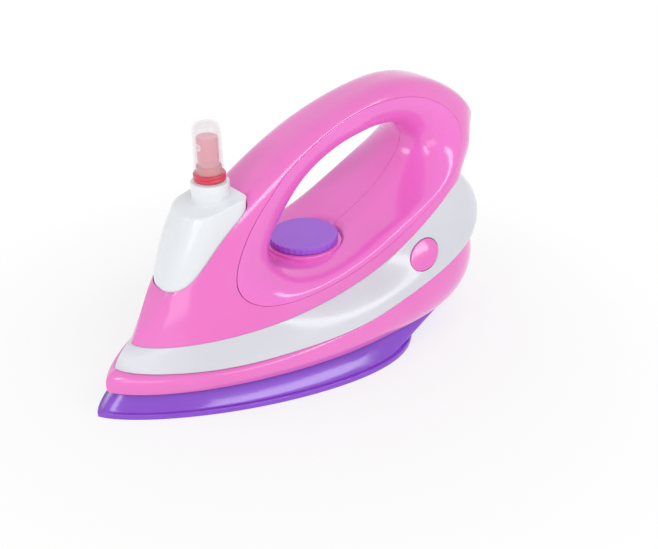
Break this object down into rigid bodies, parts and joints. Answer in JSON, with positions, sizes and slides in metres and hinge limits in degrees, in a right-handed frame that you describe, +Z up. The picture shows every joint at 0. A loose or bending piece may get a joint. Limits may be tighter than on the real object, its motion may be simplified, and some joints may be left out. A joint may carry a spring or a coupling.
{
  "type": "toy iron",
  "caption": "Pretend-play iron with an arched hollow handle, a pump sprayer with a clear cap in its nose, a turning dial under the handle and push buttons in its sides.",
  "frame": {"origin": "bottom centre of the whole iron's box, on the table under the sole", "axes": "+X toward the nose, +Y to the iron's own left, +Z up"},
  "size_m": [0.2202, 0.107, 0.12],
  "materials": {
    "violet": "glossy",
    "pink": "glossy",
    "white": "glossy",
    "red": "glossy",
    "clear": "clear frosted plastic",
    "pusher_pink": "translucent",
    "pump_white": "smooth",
    "steel": "bright",
    "soft_grey": "soft"
  },
  "bodies": {
    "iron": {"sole_plate": "violet", "base_skirt": "pink", "side_band": "white", "body_shell": "pink", "liner_left": "pink", "liner_right": "pink", "water_tank": "white", "dial_seat": "pink", "button_spring_left": "steel", "button_spring_right": "steel", "sole_screws": "steel"},
    "dial": {"dial_knob": "violet", "dial_clip": "steel", "dial_washer": "pump_white"},
    "pump": {"closure": "red", "gasket": "soft_grey", "pump_chamber": "pump_white", "dip_tube": "pump_white", "inlet_ball": "steel", "pump_spring": "steel"},
    "pusher": {"actuator": "pusher_pink", "nozzle_insert": "pump_white", "pump_piston": "pump_white"},
    "cap": {"overcap": "clear"},
    "left_button": {"side_button_left": "pink"},
    "right_button": {"side_button_right": "pink"}
  },
  "joints": [
    {"name": "dial_turn", "type": "hinge", "parent": "iron", "child": "dial", "pos_m": [-0.0052, 0, 0.0526], "axis": [0.0262, 0, 0.9997], "continuous": true},
    {"name": "pump_lift", "type": "slide", "parent": "iron", "child": "pump", "axis": [0, 0, 1], "range_m": [0, 0.065]},
    {"name": "cap_lift", "type": "slide", "parent": "pump", "child": "cap", "axis": [0, 0, 1], "range_m": [0, 0.04]},
    {"name": "pump_press", "type": "slide", "parent": "pump", "child": "pusher", "axis": [0, 0, -1], "range_m": [0, 0.004], "stiffness_N_per_m": 400, "springref_m": -0.002, "deforming": ["pump_spring"]},
    {"name": "left_button_press", "type": "slide", "parent": "iron", "child": "left_button", "axis": [-0.1698, -0.7354, -0.6561], "range_m": [0, 0.0016], "stiffness_N_per_m": 300, "springref_m": -0.002, "deforming": ["button_spring_left"]},
    {"name": "right_button_press", "type": "slide", "parent": "iron", "child": "right_button", "axis": [-0.1698, 0.7354, -0.6561], "range_m": [0, 0.0016], "stiffness_N_per_m": 300, "springref_m": -0.002, "deforming": ["button_spring_right"]}
  ]
}
